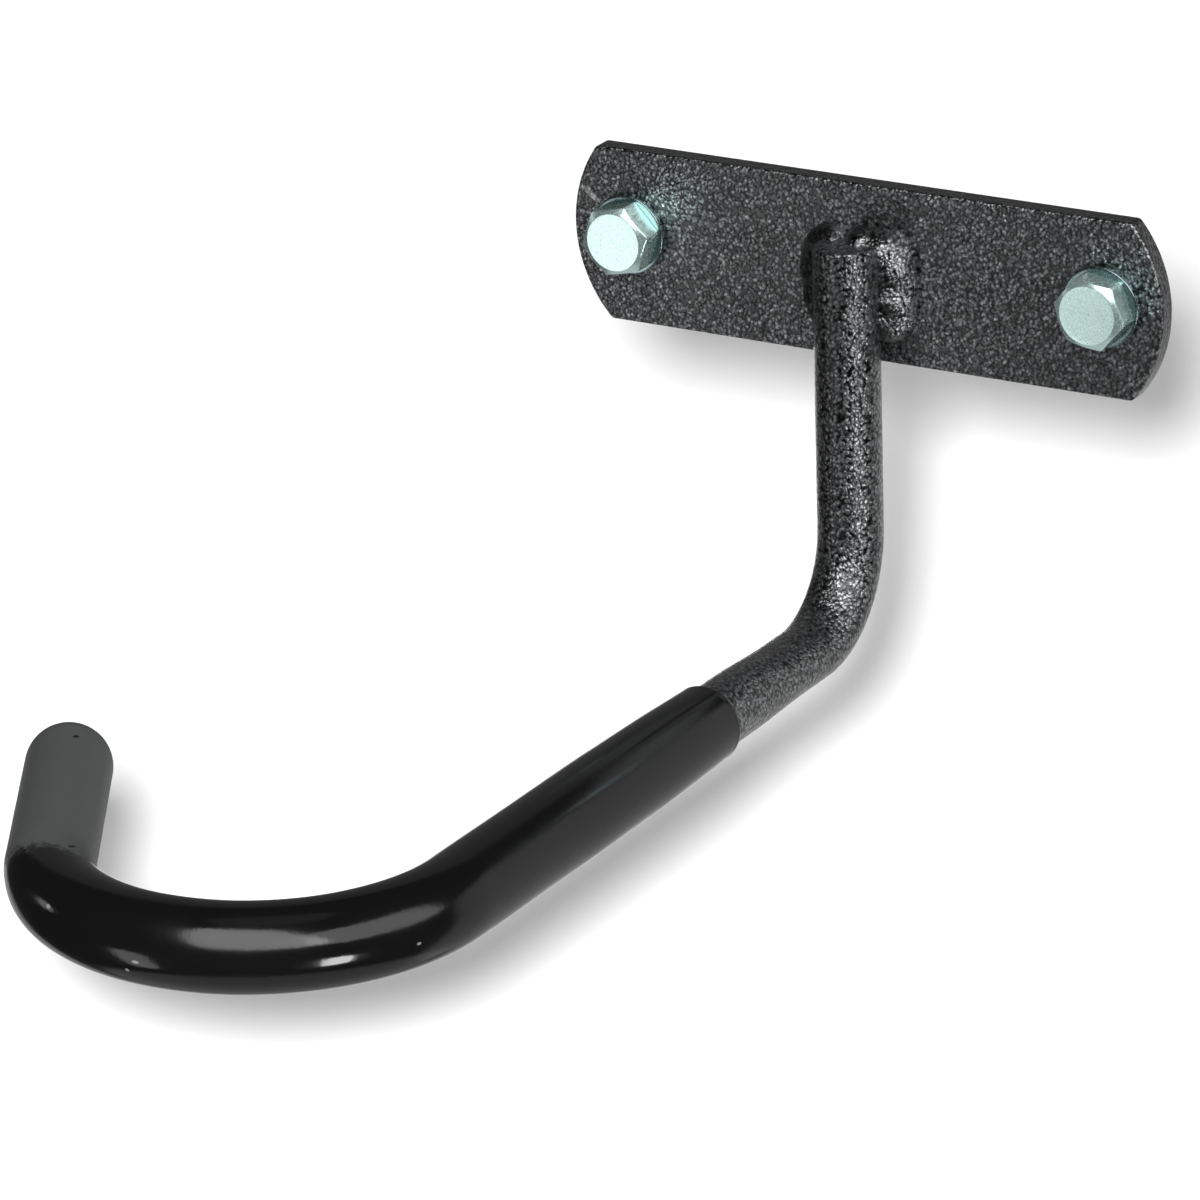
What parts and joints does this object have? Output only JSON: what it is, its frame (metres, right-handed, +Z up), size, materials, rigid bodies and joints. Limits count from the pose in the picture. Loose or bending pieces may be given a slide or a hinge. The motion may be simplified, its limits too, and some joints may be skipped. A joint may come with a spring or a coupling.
{
  "type": "wall-mounted bicycle hook",
  "caption": "Flat steel wall plate with a welded round bar that drops, runs out and curls sideways into a vinyl-covered bicycle hook.",
  "frame": {"origin": "middle of the mounting plate's wall face, which lies in y = 0", "axes": "+X to the right as seen from the room, +Y into the wall, +Z up; the arm runs out along -Y and the hook curls towards -X"},
  "size_m": [0.1691, 0.2183, 0.0961],
  "materials": {
    "hammertone_coat": "charcoal hammertone powder coat",
    "vinyl_grip": "glossy black soft vinyl",
    "zinc_plate": "bright zinc plated steel"
  },
  "bodies": {
    "root": {"mounting_plate": "hammertone_coat", "hook_rod": "hammertone_coat", "weld_bead": "hammertone_coat", "grip_sleeve": "vinyl_grip", "washer_left": "zinc_plate", "washer_right": "zinc_plate", "bolt_left": "zinc_plate", "bolt_right": "zinc_plate"}
  },
  "joints": []
}
